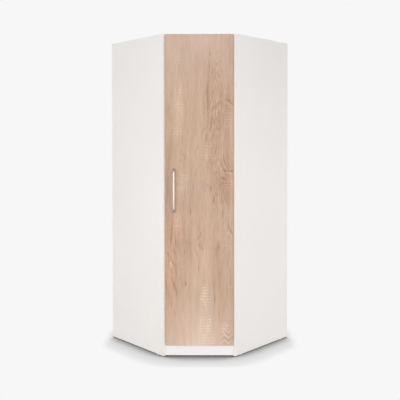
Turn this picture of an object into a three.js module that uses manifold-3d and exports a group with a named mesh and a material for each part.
// Corner wardrobe with one door across the corner, for a right-angled room corner.
// Millimetres, +Z up. The door faces -Y and the room's corner is at +Y.
// The origin is on the floor, under the centre of the overall box.
//
// Two frames are used inside the model. The front frame has X along the door, Y back into the
// corner, and Y = 0 in the plane of the side panels' outer front edges. The wing frame starts in
// the room's corner: its X (called p) runs along one wall and its Y (called q) leaves that wall.
import * as THREE from "three";
import { mergeVertices } from "three/addons/utils/BufferGeometryUtils.js";
import Module from "manifold-3d";

const wasm = await Module();
wasm.setup();

// Cabinet
const HEIGHT = 1970;
const LEG = 830; // along a wall, from the room's corner to the outer face of a side panel
const SIDE_DEPTH = 520; // side panel, square to its wall
const BOARD = 16; // melamine-faced chipboard
const BASE_HEIGHT = 70; // floor to the underside of the bottom panel
const HAT_SPACE = 300; // hat shelf to the top panel
const SHELF_CLEARANCE = 1.5; // shelf to the panels round it
const STILE_WIDTH = 100;

// Back panels of thin hardboard, in grooves
const BACK_THICKNESS = 3;
const BACK_SETBACK = 9; // wall to the back panel
const BACK_TOP_REVEAL = 2;
const GROOVE_DEPTH = 6;

// Plinth and the blocks under the bottom panel
const PLINTH_RECESS = 4; // behind the cabinet's front plane
const PLINTH_GAP = 6; // floor to the plinth
const PLINTH_BLOCK_LEG = 18;
const PLINTH_BLOCK_LENGTH = 30;
const PLINTH_BLOCK_INSET = 60; // from the end of the plinth
const CORNER_BLOCK_LEG = 55;
const CORNER_BLOCK_HEIGHT = 30;
const BLOCK_EDGE = 5; // left square at the tips of a block's triangle

// Nail-on glides
const GLIDE_HEIGHT = 5;
const GLIDE_RADIUS = 7.5;
const GLIDE_FOOT_RADIUS = 6.5;
const GLIDE_INSET = 60; // from the end of the board
const GLIDE_NAIL_RADIUS = 1.2;
const GLIDE_NAIL_LENGTH = 14;

// Cam fittings
const CAM_RADIUS = 7.5;
const CAM_SKIN = 3.5; // board left over a cam's bore
const CAM_REACH = 34; // panel edge to the cam's centre
const CAM_BOLT_RADIUS = 3;
const CAM_BOLT_GRIP = 10; // bolt inside the side panel
const CAM_INSET = 90; // from the front and rear edges of the side panel
const CAM_SLOT_WIDTH = 2;
const CAM_SLOT_LENGTH = 9;
const CAM_SLOT_DEPTH = 2;

// Shelf pins and their rows of holes
const PIN_RADIUS = 2.5;
const PIN_GRIP = 9;
const PEG_RADIUS = 3.5;
const PEG_LENGTH = 9;
const PIN_ROW_INSET = 60; // from the front and rear edges of the side panel
const PIN_PITCH = 32;
const PIN_SPARE_ROWS = 1; // spare holes above and below the shelf
const STILE_PIN_INSET = 30; // from the free edge of the stile

// Clothes rail under the shelf
const RAIL_LENGTH = 700;
const RAIL_TALL = 30;
const RAIL_WIDE = 15;
const RAIL_WALL = 1.2;
const RAIL_DROP = 62; // shelf to the rail's centre
const RAIL_TO_CORNER = 583; // rail to the room's corner
const SOCKET_WALL = 3;
const SOCKET_DEPTH = 12;
const STEM_WIDTH = 16;
const STEM_THICKNESS = 5;
const FLANGE_LENGTH = 26;
const FLANGE_WIDTH = 56;
const FLANGE_THICKNESS = 3;
const FLANGE_HOLE_RADIUS = 2.3;
const FLANGE_HOLE_INSET = 9;

// Wall brackets inside the top
const BRACKET_LEG = 34;
const BRACKET_WIDTH = 20;
const BRACKET_THICKNESS = 2;
const BRACKET_HOLE_RADIUS = 2.6;
const BRACKET_PLACE = 520; // room's corner to the bracket, along the wall

// Door
const DOOR_THICKNESS = 16;
const DOOR_GAP = 2.3; // door to the cabinet's front plane, at the side panels' inner front edges
const DOOR_SIDE_REVEAL = 1.5; // side panel's inner front edge to the door's side, along X
const DOOR_SWING_CLEARANCE = 0.9; // door's corner, on its way round, to the shelves' front edges
const DOOR_TOP_REVEAL = 4;
const DOOR_BOTTOM_REVEAL = 3;
const DOOR_EDGE_RADIUS = 1;
const DOOR_OPENING_SHOWN = 0; // degrees that the door stands open in this model
const BUMPER_RADIUS = 4;
const BUMPER_INSET = 18;

// Bow handle
const HANDLE_HOLES = 256; // screw to screw
const HANDLE_OVERHANG = 4.5; // screw to the handle's end
const HANDLE_HEIGHT = 1020; // floor to the handle's middle
const HANDLE_INSET = 53; // door's edge to the handle
const HANDLE_WIDTH = 11;
const HANDLE_THICKNESS = 6.5;
const HANDLE_PROJECTION = 34;
const HANDLE_BOW = 4; // the middle stands this much prouder than the shoulders
const HANDLE_SHOULDER = 22; // length of each rounded end
const HANDLE_FOOT = 11;
const HANDLE_BEVEL = 1.2;
const HANDLE_SCREW_RADIUS = 2;
const HANDLE_SCREW_GRIP = 8;
const HANDLE_SCREW_HEAD_RADIUS = 4.5;
const HANDLE_SCREW_HEAD_HEIGHT = 2.4;

// Single-pivot cup hinges, with arms set at 45 degrees for the splayed side panel
const HINGE_COUNT = 4;
const HINGE_END_INSET = 100; // door's end to the first hinge
const HINGE_PIN_RADIUS = 1.5;
const HINGE_PIN_LUG = 2; // pin held in the cup at each end
const HINGE_RUNNING_FIT = 0.15; // pin to the arm's eye, in radius
const EYE_RADIUS = 2.8;
const EYE_CLEARANCE = 0.4; // eye to the cup's wall and floor
const ARM_THICKNESS = 2.5;
const ARM_WIDTH = 12;
const ARM_TAIL = 22; // arm past the centre of the mounting plate
const HOOK_CLEARANCE = 0.5; // hook to the door's corner and the cup's rim
const CHANNEL_CLEARANCE = 4; // door's swing to the channel part of the arm
const CHANNEL_DROP = 5;
const CHANNEL_WALL = 1.5;
const CUP_RADIUS = 17.5;
const CUP_EDGE = 3; // door's side edge to the cup
const CUP_DEPTH = 12;
const CUP_WALL = 0.8;
const CHEEK_THICKNESS = 3; // bosses in the cup that hold the pin
const CHEEK_LENGTH = 8; // past the pivot, into the cup
const CHEEK_RISE = 4; // above the pivot
const CUP_RIM = 1;
const CUP_FLANGE_THICKNESS = 1.2;
const CUP_EAR_RADIUS = 6.5;
const CUP_SCREW_SPAN = 45;
const CUP_SCREW_OFFSET = 9.5;
const CUP_SCREW_RADIUS = 1.6;
const CUP_SCREW_GRIP = 10;
const CUP_SCREW_HEAD_RADIUS = 3.6;
const PLATE_SETBACK = 37; // side panel's front edge to the plate's centre
const PLATE_WING_LENGTH = 14;
const PLATE_WING_SPAN = 46;
const PLATE_WING_THICKNESS = 2.5;
const PLATE_RIB_LENGTH = 40;
const PLATE_SCREW_SPAN = 32;
const PLATE_SCREW_RADIUS = 2;
const PLATE_SCREW_GRIP = 10;
const PLATE_SCREW_HEAD_RADIUS = 4;
const SCREW_HEAD_HEIGHT = 1.6;
const ARM_SCREW_HEAD_RADIUS = 4.2;
const DRIVE_WIDTH = 1.2; // slot of a cross-headed screw
const DRIVE_LENGTH = 4.8;
const DRIVE_DEPTH = 0.9;

// Shared
const FIT = 0.3; // gap between pieces that seat on or in each other
const OVERRUN = 2; // how far a cutter passes the face that it cuts through
const ROUND = 16; // facets round a part
const SMALL_ROUND = 8;
const CUP_ROUND = 26;
const CURVE_FACETS = 8; // facets along one curve of an outline

// Places worked out from the sizes
const SPLAY = Math.PI / 4;
const ROOT2 = Math.SQRT2;
const inner = LEG - BOARD; // side panel's inner face, in the wing frame
const frontHalf = (LEG - SIDE_DEPTH) / ROOT2; // outer front edge of a side panel, front frame
const cabinetFront = BOARD / ROOT2; // Y of the side panels' inner front edges
const openingHalf = frontHalf - cabinetFront;
const doorHalf = openingHalf - DOOR_SIDE_REVEAL;
const roomCorner = (LEG + SIDE_DEPTH) / ROOT2; // Y of the room's corner, front frame
const rearEdge = BACK_SETBACK + BACK_THICKNESS + FIT; // wall to the boards in front of the back
const doorBack = cabinetFront - DOOR_GAP;
const doorFront = doorBack - DOOR_THICKNESS;
const doorBottom = BASE_HEIGHT + DOOR_BOTTOM_REVEAL;
const doorTop = HEIGHT - DOOR_TOP_REVEAL;
const plinthFront = cabinetFront + PLINTH_RECESS;
const shelfUnderside = HEIGHT - BOARD - HAT_SPACE - BOARD;
const railY = roomCorner - RAIL_TO_CORNER;
const railZ = shelfUnderside - RAIL_DROP;
const pinZ = shelfUnderside - FIT - PEG_RADIUS;
const camHeight = BOARD - CAM_SKIN;
const camPlaces = [CAM_INSET, SIDE_DEPTH - CAM_INSET];
const sideGlides = [GLIDE_INSET, SIDE_DEPTH - GLIDE_INSET];
const pinRows = [PIN_ROW_INSET + rearEdge, SIDE_DEPTH - PIN_ROW_INSET];
const stileFace = rearEdge + BOARD;
const stileMiddle = rearEdge + STILE_WIDTH / 2;
const stilePinPlace = rearEdge + STILE_WIDTH - STILE_PIN_INSET;

const hingePitch = (doorTop - doorBottom - 2 * HINGE_END_INSET) / (HINGE_COUNT - 1);
const hingeHeights = Array.from(
  { length: HINGE_COUNT },
  (_, i) => doorBottom + HINGE_END_INSET + i * hingePitch,
);
// The arm's eye sits as near to the door's edge and as deep in the door as the cup allows.
const eyeReach = CUP_RADIUS - CUP_WALL - EYE_CLEARANCE;
const eyeOffset = Math.sqrt(eyeReach ** 2 - (ARM_WIDTH / 2) ** 2) - EYE_RADIUS;
const pivotEdge = CUP_EDGE + CUP_RADIUS - eyeOffset;
const pivotDepth = CUP_DEPTH - CUP_WALL - EYE_CLEARANCE - EYE_RADIUS;
const pivotX = doorHalf - pivotEdge;
const pivotY = doorBack - pivotDepth;
const shelfFront = pivotY + Math.hypot(pivotEdge, pivotDepth) + DOOR_SWING_CLEARANCE;
// The side panel's inner face and its front edge, seen from the pivot: n is the distance into the
// cabinet, square to the face, and t runs back along the face.
const frontEdgeX = pivotEdge + DOOR_SIDE_REVEAL;
const frontEdgeY = pivotDepth + DOOR_GAP;
const faceN = (frontEdgeY - frontEdgeX) / ROOT2;
const faceT = (frontEdgeY + frontEdgeX) / ROOT2;
const plateT = faceT + PLATE_SETBACK;
const armEnd = plateT + ARM_TAIL;
const cupTop = pivotDepth + FIT + CUP_FLANGE_THICKNESS;
const cupX = pivotEdge - CUP_EDGE - CUP_RADIUS;
const cupSlotHalf = ARM_WIDTH / 2 + FIT;
const cupScrewX = cupX - CUP_SCREW_OFFSET;
const cupScrewPlaces = [-1, 1].map((end) => (end * CUP_SCREW_SPAN) / 2);
const hookRadius = Math.hypot(pivotEdge, cupTop) + HOOK_CLEARANCE;
const hookOuter = hookRadius + ARM_THICKNESS;
const doorSwing = Math.hypot(pivotEdge, Math.max(pivotDepth, DOOR_THICKNESS - pivotDepth));
const channelStart = doorSwing + CHANNEL_CLEARANCE;

const handleX = -(doorHalf - HANDLE_INSET);
const handleScrewHeights = [-1, 1].map((end) => HANDLE_HEIGHT + (end * HANDLE_HOLES) / 2);

// Materials
const finish = (color, roughness, metalness) =>
  new THREE.MeshStandardMaterial({ color, roughness, metalness });
const whiteBoard = finish(0xeceae7, 0.5, 0);
const oakBoard = finish(0xcba98a, 0.55, 0);
const hardboard = finish(0xe4e1dc, 0.6, 0);
const satinMetal = finish(0xd4d2ce, 0.28, 1);
const chrome = finish(0xd9dadb, 0.12, 1);
const hingeSteel = finish(0xb9babb, 0.3, 1);
const cupZinc = finish(0xb7b7b5, 0.35, 1);
const camZinc = finish(0xa9aaab, 0.4, 1);
const glidePlastic = finish(0xf0efec, 0.5, 0);
const bumperRubber = finish(0xe6e4e0, 0.7, 0);

// Shapes
function box([x0, x1], [y0, y1], [z0, z1]) {
  const geometry = new THREE.BoxGeometry(x1 - x0, y1 - y0, z1 - z0);
  return geometry.translate((x0 + x1) / 2, (y0 + y1) / 2, (z0 + z1) / 2);
}

function point(x, y, z) {
  return new THREE.Vector3(x, y, z);
}

function rod(from, to, radius, sides = SMALL_ROUND) {
  const run = to.clone().sub(from);
  const geometry = new THREE.CylinderGeometry(radius, radius, run.length(), sides);
  const turn = new THREE.Quaternion().setFromUnitVectors(point(0, 1, 0), run.normalize());
  const middle = from.clone().add(to).multiplyScalar(1 / 2);
  return geometry.applyQuaternion(turn).translate(...middle.toArray());
}

function prism(outline, [z0, z1]) {
  const shape = Array.isArray(outline) ? new THREE.Shape(outline) : outline;
  const options = { depth: z1 - z0, bevelEnabled: false, curveSegments: CURVE_FACETS };
  const geometry = new THREE.ExtrudeGeometry(shape, options);
  return geometry.translate(0, 0, z0);
}

// A tall outline with round ends
function oval(width, height) {
  const radius = width / 2;
  const straight = height / 2 - radius;
  const shape = new THREE.Shape();
  shape.absarc(0, straight, radius, 0, Math.PI, false);
  shape.absarc(0, -straight, radius, Math.PI, 2 * Math.PI, false);
  return shape;
}

const centred = (middle, size) => [middle - size / 2, middle + size / 2];

// Joins and cuts
function solid(geometry) {
  const bare = geometry.clone();
  bare.deleteAttribute("normal");
  bare.deleteAttribute("uv");
  const merged = mergeVertices(bare);
  const mesh = new wasm.Mesh({
    numProp: 3,
    vertProperties: merged.attributes.position.array,
    triVerts: new Uint32Array(merged.index.array),
  });
  return new wasm.Manifold(mesh);
}

function geometryOf(manifold) {
  const mesh = manifold.getMesh();
  const geometry = new THREE.BufferGeometry();
  geometry.setAttribute("position", new THREE.BufferAttribute(mesh.vertProperties, 3));
  geometry.setIndex(new THREE.BufferAttribute(mesh.triVerts, 1));
  const faceted = geometry.toNonIndexed();
  faceted.computeVertexNormals();
  return faceted;
}

function join(...geometries) {
  const joined = geometries.map(solid).reduce((whole, piece) => whole.add(piece));
  return geometryOf(joined);
}

function cut(geometry, ...cutters) {
  const rest = cutters.map(solid).reduce((whole, cutter) => whole.subtract(cutter), solid(geometry));
  return geometryOf(rest);
}

function piece(name, geometry, material) {
  const mesh = new THREE.Mesh(geometry, material);
  mesh.name = name;
  return mesh;
}

// A point of one wing, or its mirror image in the other wing
const wingPoint = (mirrored, p, q, z) => (mirrored ? point(q, p, z) : point(p, q, z));
const bothWings = [false, true];

// Side panel, in the wing frame
function sidePanel(hinged) {
  const board = box([inner, LEG], [0, SIDE_DEPTH], [GLIDE_HEIGHT, HEIGHT]);
  const groove = box(
    [inner - OVERRUN, inner + GROOVE_DEPTH],
    [BACK_SETBACK - FIT, BACK_SETBACK + BACK_THICKNESS + FIT],
    [GLIDE_HEIGHT - OVERRUN, HEIGHT + OVERRUN],
  );
  const faceHole = (q, z, radius, depth) =>
    rod(point(inner - OVERRUN, q, z), point(inner + depth + FIT, q, z), radius + FIT);
  const boltHoles = [BASE_HEIGHT, HEIGHT - BOARD].flatMap((underside) =>
    camPlaces.map((q) => faceHole(q, underside + BOARD / 2, CAM_BOLT_RADIUS, CAM_BOLT_GRIP)),
  );
  const rows = Array.from({ length: 2 * PIN_SPARE_ROWS + 1 }, (_, i) => i - PIN_SPARE_ROWS);
  const pinHoles = rows.flatMap((row) =>
    pinRows.map((q) => faceHole(q, pinZ + row * PIN_PITCH, PIN_RADIUS, PIN_GRIP)),
  );
  const nailHoles = sideGlides.map((q) => nailHole(LEG - BOARD / 2, q, GLIDE_HEIGHT));
  const screwHoles = (hinged ? hingeHeights : []).flatMap((z) =>
    [-1, 1].map((end) =>
      faceHole(
        SIDE_DEPTH - PLATE_SETBACK,
        z + (end * PLATE_SCREW_SPAN) / 2,
        PLATE_SCREW_RADIUS,
        PLATE_SCREW_GRIP,
      ),
    ),
  );
  return cut(board, groove, ...boltHoles, ...pinHoles, ...nailHoles, ...screwHoles);
}

// Plan of a shelf in the wing frame, with its front at 45 degrees. The corner is left square, or is
// notched round the two stiles.
function shelfPlan(clearance, notched) {
  const rear = rearEdge + clearance;
  const side = inner - clearance;
  const sideFront = (roomCorner - shelfFront) * ROOT2 - side;
  const stileEnd = rearEdge + STILE_WIDTH + clearance;
  const stileFront = stileFace + clearance;
  const squareCorner = [[rear, rear]];
  const notch = [
    [rear, stileEnd],
    [stileFront, stileEnd],
    [stileFront, stileFront],
    [stileEnd, stileFront],
    [stileEnd, rear],
  ];
  return [
    [side, rear],
    [side, sideFront],
    [sideFront, side],
    [rear, side],
    ...(notched ? notch : squareCorner),
  ].map(([p, q]) => new THREE.Vector2(p, q));
}

// Top and bottom panels
function deckPanel(underside, notched) {
  const board = prism(shelfPlan(FIT, notched), [underside, underside + BOARD]);
  const boltZ = underside + BOARD / 2;
  const camBores = bothWings.flatMap((mirrored) =>
    camPlaces.flatMap((q) => {
      const cam = inner - CAM_REACH;
      const at = (p, z) => wingPoint(mirrored, p, q, z);
      return [
        rod(at(cam, underside - OVERRUN), at(cam, underside + camHeight + FIT), CAM_RADIUS + FIT, ROUND),
        rod(at(cam, boltZ), at(inner + OVERRUN, boltZ), CAM_BOLT_RADIUS + FIT),
      ];
    }),
  );
  return cut(board, ...camBores);
}

// Cam and its bolt, in the wing frame
function camFitting(q, underside) {
  const p = inner - CAM_REACH;
  const boltZ = underside + BOARD / 2;
  const cam = rod(point(p, q, underside), point(p, q, underside + camHeight), CAM_RADIUS, ROUND);
  const bolt = rod(point(p, q, boltZ), point(inner + CAM_BOLT_GRIP, q, boltZ), CAM_BOLT_RADIUS);
  const slotZ = [underside - OVERRUN, underside + CAM_SLOT_DEPTH];
  const slots = [
    box(centred(p, CAM_SLOT_LENGTH), centred(q, CAM_SLOT_WIDTH), slotZ),
    box(centred(p, CAM_SLOT_WIDTH), centred(q, CAM_SLOT_LENGTH), slotZ),
  ];
  return cut(join(cam, bolt), ...slots);
}

function hatShelf() {
  return prism(shelfPlan(SHELF_CLEARANCE, true), [shelfUnderside, shelfUnderside + BOARD]);
}

function shelfPin(seat, inward) {
  const along = (distance) => seat.clone().addScaledVector(inward, distance);
  return join(
    rod(along(-PIN_GRIP), along(PEG_LENGTH), PIN_RADIUS),
    rod(along(FIT), along(PEG_LENGTH), PEG_RADIUS),
  );
}

// Back panel and stile, in the wing frame. The left ones run into the corner and the right ones
// stop against them. The stiles stand on the floor and carry the corner.
function backPanel(first) {
  const corner = first ? BACK_SETBACK : BACK_SETBACK + BACK_THICKNESS + FIT;
  return box(
    [corner, inner + GROOVE_DEPTH - FIT],
    [BACK_SETBACK, BACK_SETBACK + BACK_THICKNESS],
    [BASE_HEIGHT, HEIGHT - BACK_TOP_REVEAL],
  );
}

function cornerStile(first) {
  const corner = first ? rearEdge : rearEdge + BOARD + FIT;
  const board = box(
    [corner, rearEdge + STILE_WIDTH],
    [rearEdge, stileFace],
    [GLIDE_HEIGHT, HEIGHT - BOARD - FIT],
  );
  const pinHole = rod(
    point(stilePinPlace, stileFace - PIN_GRIP - FIT, pinZ),
    point(stilePinPlace, stileFace + OVERRUN, pinZ),
    PIN_RADIUS + FIT,
  );
  return cut(board, pinHole, nailHole(stileMiddle, rearEdge + BOARD / 2, GLIDE_HEIGHT));
}

// Plinth, in the front frame
function frontPlinth() {
  const halfAt = (y) => openingHalf + (y - cabinetFront) - FIT * ROOT2;
  const back = plinthFront + BOARD;
  const outline = [
    [-halfAt(plinthFront), plinthFront],
    [halfAt(plinthFront), plinthFront],
    [halfAt(back), back],
    [-halfAt(back), back],
  ].map(([x, y]) => new THREE.Vector2(x, y));
  return prism(outline, [PLINTH_GAP, BASE_HEIGHT - FIT]);
}

// A right-angled triangle with its two tips cut square
function blockShape(leg, corner) {
  return [
    [0, 0],
    [leg, 0],
    [leg, BLOCK_EDGE],
    [BLOCK_EDGE, leg],
    [0, leg],
  ].map(([x, y]) => new THREE.Vector2(corner + x, corner + y));
}

function plinthBlock() {
  // The triangle's plane becomes Y and -Z, and the block runs along X.
  const turn = new THREE.Matrix4().makeBasis(point(0, 1, 0), point(0, 0, -1), point(-1, 0, 0));
  return prism(blockShape(PLINTH_BLOCK_LEG, 0), [-PLINTH_BLOCK_LENGTH / 2, PLINTH_BLOCK_LENGTH / 2])
    .applyMatrix4(turn)
    .translate(-(openingHalf - PLINTH_BLOCK_INSET), plinthFront + BOARD + FIT, BASE_HEIGHT - FIT);
}

// Block in the corner between the stiles, in the wing frame
function cornerBlock() {
  const top = BASE_HEIGHT - FIT;
  return prism(blockShape(CORNER_BLOCK_LEG, stileFace + FIT), [top - CORNER_BLOCK_HEIGHT, top]);
}

// Glides
function nailHole(x, y, z) {
  const top = z + GLIDE_NAIL_LENGTH + FIT;
  return rod(point(x, y, z - OVERRUN), point(x, y, top), GLIDE_NAIL_RADIUS + FIT);
}

function glide(x, y) {
  const top = GLIDE_HEIGHT - FIT;
  const profile = [
    [0, 0],
    [GLIDE_FOOT_RADIUS, 0],
    [GLIDE_RADIUS, top / 2],
    [GLIDE_RADIUS, top],
    [GLIDE_NAIL_RADIUS, top],
    [GLIDE_NAIL_RADIUS, top + GLIDE_NAIL_LENGTH],
    [0, top + GLIDE_NAIL_LENGTH],
  ].map(([r, z]) => new THREE.Vector2(r, z));
  return new THREE.LatheGeometry(profile, ROUND).rotateX(Math.PI / 2).translate(x, y, 0);
}

// Clothes rail and its sockets, in the front frame
function alongX(shape, [x0, x1]) {
  // The shape's X becomes Y and its Y becomes Z.
  return prism(shape, [x0, x1])
    .applyMatrix4(new THREE.Matrix4().makeBasis(point(0, 1, 0), point(0, 0, 1), point(1, 0, 0)))
    .translate(0, railY, railZ);
}

function clothesRail() {
  const tube = oval(RAIL_WIDE, RAIL_TALL);
  tube.holes.push(oval(RAIL_WIDE - 2 * RAIL_WALL, RAIL_TALL - 2 * RAIL_WALL));
  return alongX(tube, [-RAIL_LENGTH / 2, RAIL_LENGTH / 2]);
}

function railBracket() {
  const railEnd = -RAIL_LENGTH / 2;
  const outer = railEnd - FIT - SOCKET_WALL;
  const flangeTop = shelfUnderside - FIT;
  const flangeBottom = flangeTop - FLANGE_THICKNESS;
  const grow = 2 * (FIT + SOCKET_WALL);
  const socket = alongX(oval(RAIL_WIDE + grow, RAIL_TALL + grow), [outer, railEnd + SOCKET_DEPTH]);
  const pocketSize = [RAIL_WIDE + 2 * FIT, RAIL_TALL + 2 * FIT];
  const pocket = alongX(oval(...pocketSize), [railEnd - FIT, railEnd + SOCKET_DEPTH + OVERRUN]);
  const stem = box(
    [outer, outer + STEM_THICKNESS],
    centred(railY, STEM_WIDTH),
    [railZ, flangeTop],
  );
  const flange = box(
    [outer, outer + FLANGE_LENGTH],
    centred(railY, FLANGE_WIDTH),
    [flangeBottom, flangeTop],
  );
  const holes = [-1, 1].map((end) => {
    const x = outer + FLANGE_LENGTH / 2;
    const y = railY + end * (FLANGE_WIDTH / 2 - FLANGE_HOLE_INSET);
    return rod(
      point(x, y, flangeBottom - OVERRUN),
      point(x, y, flangeTop + OVERRUN),
      FLANGE_HOLE_RADIUS,
    );
  });
  return cut(join(socket, stem, flange), pocket, ...holes);
}

// Wall bracket, in the wing frame: one leg under the top panel, one down the back panel
function wallBracket() {
  const back = rearEdge;
  const top = HEIGHT - BOARD - FIT;
  const across = centred(BRACKET_PLACE, BRACKET_WIDTH);
  const flat = box(across, [back, back + BRACKET_LEG], [top - BRACKET_THICKNESS, top]);
  const upright = box(across, [back, back + BRACKET_THICKNESS], [top - BRACKET_LEG, top]);
  const middle = (BRACKET_LEG + BRACKET_THICKNESS) / 2;
  const screwHole = rod(
    point(BRACKET_PLACE, back + middle, top - BRACKET_THICKNESS - OVERRUN),
    point(BRACKET_PLACE, back + middle, top + OVERRUN),
    BRACKET_HOLE_RADIUS,
  );
  const wallHole = rod(
    point(BRACKET_PLACE, back - OVERRUN, top - middle),
    point(BRACKET_PLACE, back + BRACKET_THICKNESS + OVERRUN, top - middle),
    BRACKET_HOLE_RADIUS,
  );
  return cut(join(flat, upright), screwHole, wallHole);
}

// Cutters for the cross in a screw's head, which faces +Y and whose top is at the given height
function crossDrive([x, z], headTop) {
  const deep = [headTop - DRIVE_DEPTH, headTop + OVERRUN];
  return [
    box(centred(x, DRIVE_LENGTH), deep, centred(z, DRIVE_WIDTH)),
    box(centred(x, DRIVE_WIDTH), deep, centred(z, DRIVE_LENGTH)),
  ];
}

// Hinges, in a frame at the pivot with X and Y along the front frame's. What lies along the side
// panel is made with t as X and n as Y, and is then turned.
const alongSide = (geometry) => geometry.rotateZ(SPLAY);

// The gooseneck arm: an eye round the pin, a hook out of the cup and a channel over the plate
function hingeArm() {
  const half = ARM_THICKNESS / 2;
  const onLine = (t, n) => new THREE.Vector2(t, n).rotateAround(new THREE.Vector2(0, 0), SPLAY);
  const hookTurn = Math.PI / 2 + SPLAY; // where the hook runs out into the straight arm
  const innerEnd = onLine(armEnd, hookRadius);
  const outerEnd = onLine(armEnd, hookOuter);
  const eyeJoin = Math.asin(half / EYE_RADIUS);
  const profile = new THREE.Shape();
  profile.moveTo(innerEnd.x, innerEnd.y);
  profile.absarc(0, 0, hookRadius, hookTurn, Math.PI - Math.asin(half / hookRadius), false);
  profile.absarc(0, 0, EYE_RADIUS, Math.PI - eyeJoin, eyeJoin - Math.PI, true);
  profile.absarc(0, 0, hookOuter, Math.PI + Math.asin(half / hookOuter), hookTurn, true);
  profile.lineTo(outerEnd.x, outerEnd.y);
  profile.closePath();
  const strip = prism(profile, [-ARM_WIDTH / 2, ARM_WIDTH / 2]);
  const wallDepth = [hookRadius - CHANNEL_DROP, hookRadius + half];
  const walls = [-ARM_WIDTH / 2, ARM_WIDTH / 2 - CHANNEL_WALL].map((z) =>
    alongSide(box([channelStart, armEnd], wallDepth, [z, z + CHANNEL_WALL])),
  );
  const headTop = hookOuter + SCREW_HEAD_HEIGHT;
  const screwHead = alongSide(
    rod(point(plateT, hookRadius + half, 0), point(plateT, headTop, 0), ARM_SCREW_HEAD_RADIUS),
  );
  const pinHole = rod(
    point(0, 0, -ARM_WIDTH / 2 - OVERRUN),
    point(0, 0, ARM_WIDTH / 2 + OVERRUN),
    HINGE_PIN_RADIUS + HINGE_RUNNING_FIT,
    ROUND,
  );
  const drive = crossDrive([plateT, 0], headTop).map(alongSide);
  return cut(join(strip, ...walls, screwHead), pinHole, ...drive);
}

function hingePlate() {
  const foot = faceN + FIT;
  const wingTop = foot + PLATE_WING_THICKNESS;
  const headTop = wingTop + SCREW_HEAD_HEIGHT;
  const ribHalf = ARM_WIDTH / 2 - CHANNEL_WALL - FIT;
  const rib = box(centred(plateT, PLATE_RIB_LENGTH), [foot, hookRadius - FIT], [-ribHalf, ribHalf]);
  const wing = box(centred(plateT, PLATE_WING_LENGTH), [foot, wingTop], centred(0, PLATE_WING_SPAN));
  const screwPlaces = [-1, 1].map((end) => (end * PLATE_SCREW_SPAN) / 2);
  const screws = screwPlaces.flatMap((z) => [
    rod(point(plateT, faceN - PLATE_SCREW_GRIP, z), point(plateT, wingTop, z), PLATE_SCREW_RADIUS),
    rod(point(plateT, foot + FIT, z), point(plateT, headTop, z), PLATE_SCREW_HEAD_RADIUS),
  ]);
  const drives = screwPlaces.flatMap((z) => crossDrive([plateT, z], headTop));
  return alongSide(cut(join(rib, wing, ...screws), ...drives));
}

// The cup, with two bosses inside that hold the pin and let the arm's eye turn between them
function hingeCup() {
  const bottom = pivotDepth - CUP_DEPTH;
  const flangeBottom = pivotDepth + FIT;
  const headTop = cupTop + SCREW_HEAD_HEIGHT;
  const floor = bottom + CUP_WALL;
  const drum = rod(point(cupX, bottom, 0), point(cupX, cupTop, 0), CUP_RADIUS, CUP_ROUND);
  const rim = rod(point(cupX, flangeBottom, 0), point(cupX, cupTop, 0), CUP_RADIUS + CUP_RIM, CUP_ROUND);
  const earShape = oval(2 * CUP_EAR_RADIUS, CUP_SCREW_SPAN + 2 * CUP_EAR_RADIUS);
  const ears = prism(earShape, [-cupTop, -flangeBottom]).rotateX(Math.PI / 2).translate(cupScrewX, 0, 0);
  const screws = cupScrewPlaces.flatMap((z) => [
    rod(point(cupScrewX, pivotDepth - CUP_SCREW_GRIP, z), point(cupScrewX, cupTop, z), CUP_SCREW_RADIUS),
    rod(point(cupScrewX, flangeBottom + FIT, z), point(cupScrewX, headTop, z), CUP_SCREW_HEAD_RADIUS),
  ]);
  const hollow = rod(
    point(cupX, floor, 0),
    point(cupX, cupTop + OVERRUN, 0),
    CUP_RADIUS - CUP_WALL,
    CUP_ROUND,
  );
  const cheeks = [-cupSlotHalf - CHEEK_THICKNESS, cupSlotHalf].map((z) =>
    box([-CHEEK_LENGTH, CUP_RADIUS], [floor - OVERRUN, CHEEK_RISE], [z, z + CHEEK_THICKNESS]),
  );
  const pinHalf = cupSlotHalf + HINGE_PIN_LUG;
  const pinBore = rod(
    point(0, 0, -pinHalf - FIT),
    point(0, 0, pinHalf + FIT),
    HINGE_PIN_RADIUS + HINGE_RUNNING_FIT,
    ROUND,
  );
  const drives = cupScrewPlaces.flatMap((z) => crossDrive([cupScrewX, z], headTop));
  return cut(join(drum, rim, ears, ...screws), cut(hollow, ...cheeks), pinBore, ...drives);
}

function hingePin() {
  const half = cupSlotHalf + HINGE_PIN_LUG;
  return rod(point(0, 0, -half), point(0, 0, half), HINGE_PIN_RADIUS, ROUND);
}

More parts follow.
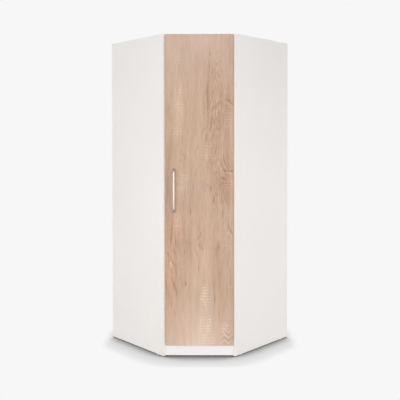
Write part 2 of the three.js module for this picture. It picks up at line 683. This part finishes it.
// Door, in the front frame
function doorPanel() {
  const round = DOOR_EDGE_RADIUS;
  const half = doorHalf - round;
  const outline = [
    [-half, doorBottom + round],
    [half, doorBottom + round],
    [half, doorTop - round],
    [-half, doorTop - round],
  ].map(([x, z]) => new THREE.Vector2(x, z));
  const slab = new THREE.ExtrudeGeometry(new THREE.Shape(outline), {
    depth: DOOR_THICKNESS - 2 * round,
    bevelThickness: round,
    bevelSize: round,
    bevelSegments: 3,
  });
  // The outline's Y becomes Z, and the slab's thickness runs forward from the door's back face.
  slab.rotateX(Math.PI / 2).translate(0, doorBack - round, 0);
  const cupBores = hingeHeights.flatMap((z) => {
    const x = pivotX + cupX;
    const bore = rod(
      point(x, doorBack - CUP_DEPTH - FIT, z),
      point(x, doorBack + OVERRUN, z),
      CUP_RADIUS + FIT,
      CUP_ROUND,
    );
    const pilots = cupScrewPlaces.map((dz) =>
      rod(
        point(pivotX + cupScrewX, doorBack - CUP_SCREW_GRIP - FIT, z + dz),
        point(pivotX + cupScrewX, doorBack + OVERRUN, z + dz),
        CUP_SCREW_RADIUS + FIT,
      ),
    );
    return [bore, ...pilots];
  });
  const handleBores = handleScrewHeights.map((z) =>
    rod(
      point(handleX, doorFront - OVERRUN, z),
      point(handleX, doorBack + OVERRUN, z),
      HANDLE_SCREW_RADIUS + FIT,
    ),
  );
  return cut(slab, ...cupBores, ...handleBores);
}

// The handle's side view has X up the door and Y away from it. Both ends are quarter ellipses,
// outside and inside, and a shallow curve joins them.
function bowHandle() {
  const bevel = HANDLE_BEVEL;
  const end = HANDLE_HOLES / 2 + HANDLE_OVERHANG - bevel;
  const shoulder = HANDLE_PROJECTION - HANDLE_BOW - bevel;
  const shoulderAt = end - HANDLE_SHOULDER;
  const footInner = end - HANDLE_FOOT + 2 * bevel;
  const gripInner = shoulder - HANDLE_THICKNESS + 2 * bevel;
  const innerAt = footInner - HANDLE_SHOULDER;
  const foot = FIT + bevel;
  const profile = new THREE.Shape();
  profile.moveTo(-end, foot);
  profile.absellipse(-shoulderAt, foot, HANDLE_SHOULDER, shoulder - foot, Math.PI, Math.PI / 2, true);
  // The curve's middle lies halfway between its ends and its control point.
  profile.quadraticCurveTo(0, shoulder + 2 * HANDLE_BOW, shoulderAt, shoulder);
  profile.absellipse(shoulderAt, foot, HANDLE_SHOULDER, shoulder - foot, Math.PI / 2, 0, true);
  profile.lineTo(footInner, foot);
  profile.absellipse(innerAt, foot, HANDLE_SHOULDER, gripInner - foot, 0, Math.PI / 2, false);
  profile.quadraticCurveTo(0, gripInner + 2 * HANDLE_BOW, -innerAt, gripInner);
  profile.absellipse(-innerAt, foot, HANDLE_SHOULDER, gripInner - foot, Math.PI / 2, Math.PI, false);
  profile.closePath();
  const bar = new THREE.ExtrudeGeometry(profile, {
    depth: HANDLE_WIDTH - 2 * bevel,
    bevelThickness: bevel,
    bevelSize: bevel,
    bevelSegments: 1,
    curveSegments: CURVE_FACETS,
  });
  bar.translate(0, 0, bevel - HANDLE_WIDTH / 2);
  // The side view's X becomes Z and its Y becomes -Y.
  bar.applyMatrix4(new THREE.Matrix4().makeBasis(point(0, 0, 1), point(0, -1, 0), point(1, 0, 0)));
  bar.translate(handleX, doorFront, HANDLE_HEIGHT);
  const bores = handleScrewHeights.map((z) =>
    rod(
      point(handleX, doorFront - HANDLE_SCREW_GRIP - FIT, z),
      point(handleX, doorFront + OVERRUN, z),
      HANDLE_SCREW_RADIUS + FIT,
    ),
  );
  return cut(bar, ...bores);
}

function handleScrew(z) {
  const headTop = doorBack + FIT + HANDLE_SCREW_HEAD_HEIGHT;
  const shank = rod(
    point(handleX, doorFront - HANDLE_SCREW_GRIP, z),
    point(handleX, headTop, z),
    HANDLE_SCREW_RADIUS,
  );
  const head = rod(
    point(handleX, doorBack + FIT, z),
    point(handleX, headTop, z),
    HANDLE_SCREW_HEAD_RADIUS,
    ROUND,
  );
  return cut(join(shank, head), ...crossDrive([handleX, z], headTop));
}

function doorBumper(z) {
  const thickness = shelfFront - doorBack - 2 * FIT;
  const x = -(openingHalf - BUMPER_INSET);
  const profile = [
    [0, 0],
    [BUMPER_RADIUS, 0],
    [BUMPER_RADIUS, thickness / 3],
    [BUMPER_RADIUS / 2, thickness],
    [0, thickness],
  ].map(([r, y]) => new THREE.Vector2(r, y));
  return new THREE.LatheGeometry(profile, ROUND).translate(x, doorBack + FIT, z);
}

// One half of the cabinet: a wing along its wall, and what hangs on the front frame beside it
function cabinetHalf(side, first) {
  const wing = new THREE.Group();
  wing.position.set(0, roomCorner, 0);
  wing.rotation.z = -(Math.PI / 2 + SPLAY);
  wing.add(
    piece(`${side}_side_panel`, sidePanel(!first), whiteBoard),
    piece(`${side}_back_panel`, backPanel(first), hardboard),
    piece(`${side}_corner_stile`, cornerStile(first), whiteBoard),
    piece(`${side}_wall_bracket`, wallBracket(), hingeSteel),
  );
  ["rear", "front"].forEach((place, i) => {
    const pinSeat = point(inner, pinRows[i], pinZ);
    wing.add(
      piece(`${side}_${place}_glide`, glide(LEG - BOARD / 2, sideGlides[i]), glidePlastic),
      piece(`${side}_${place}_shelf_pin`, shelfPin(pinSeat, point(-1, 0, 0)), hingeSteel),
      piece(`top_cam_${side}_${place}`, camFitting(camPlaces[i], HEIGHT - BOARD), camZinc),
      piece(`bottom_cam_${side}_${place}`, camFitting(camPlaces[i], BASE_HEIGHT), camZinc),
    );
  });
  const stileSeat = point(stilePinPlace, stileFace, pinZ);
  wing.add(
    piece(`${side}_corner_shelf_pin`, shelfPin(stileSeat, point(0, 1, 0)), hingeSteel),
    piece(`${side}_corner_glide`, glide(stileMiddle, rearEdge + BOARD / 2), glidePlastic),
  );
  const group = new THREE.Group();
  group.add(
    wing,
    piece(`${side}_rail_bracket`, railBracket(), chrome),
    piece(`${side}_plinth_block`, plinthBlock(), glidePlastic),
  );
  return group;
}

function cabinet() {
  const decks = new THREE.Group();
  decks.position.set(0, roomCorner, 0);
  decks.rotation.z = -(Math.PI / 2 + SPLAY);
  decks.add(
    piece("top_panel", deckPanel(HEIGHT - BOARD, false), whiteBoard),
    piece("bottom_panel", deckPanel(BASE_HEIGHT, true), whiteBoard),
    piece("hat_shelf", hatShelf(), whiteBoard),
    piece("corner_block", cornerBlock(), glidePlastic),
  );
  const rightHalf = cabinetHalf("right", false);
  rightHalf.scale.x = -1;
  const group = new THREE.Group();
  group.add(
    decks,
    cabinetHalf("left", true),
    rightHalf,
    piece("front_plinth", frontPlinth(), whiteBoard),
    piece("clothes_rail", clothesRail(), chrome),
  );
  hingeHeights.forEach((z, i) => {
    const hinge = new THREE.Group();
    hinge.position.set(pivotX, pivotY, z);
    hinge.add(
      piece(`hinge_arm_${i + 1}`, hingeArm(), hingeSteel),
      piece(`hinge_plate_${i + 1}`, hingePlate(), hingeSteel),
    );
    group.add(hinge);
  });
  return group;
}

function door() {
  const leaf = new THREE.Group();
  leaf.position.set(-pivotX, -pivotY, 0);
  leaf.add(
    piece("door_panel", doorPanel(), oakBoard),
    piece("handle", bowHandle(), satinMetal),
    piece("handle_screw_lower", handleScrew(handleScrewHeights[0]), hingeSteel),
    piece("handle_screw_upper", handleScrew(handleScrewHeights[1]), hingeSteel),
    piece("door_bumper_lower", doorBumper((doorBottom + BASE_HEIGHT + BOARD) / 2), bumperRubber),
    piece("door_bumper_upper", doorBumper((doorTop + HEIGHT - BOARD) / 2), bumperRubber),
  );
  hingeHeights.forEach((z, i) => {
    const hinge = new THREE.Group();
    hinge.position.set(pivotX, pivotY, z);
    hinge.add(
      piece(`hinge_cup_${i + 1}`, hingeCup(), cupZinc),
      piece(`hinge_pin_${i + 1}`, hingePin(), hingeSteel),
    );
    leaf.add(hinge);
  });
  // The door turns about the hinge pins.
  const hung = new THREE.Group();
  hung.position.set(pivotX, pivotY, 0);
  hung.rotation.z = THREE.MathUtils.degToRad(DOOR_OPENING_SHOWN);
  hung.add(leaf);
  return hung;
}

const wardrobe = new THREE.Group();
const overallFront = doorFront - HANDLE_PROJECTION;
const overallBack = roomCorner - BACK_SETBACK * ROOT2;
wardrobe.position.y = -(overallFront + overallBack) / 2;
wardrobe.add(cabinet(), door());

export default wardrobe;
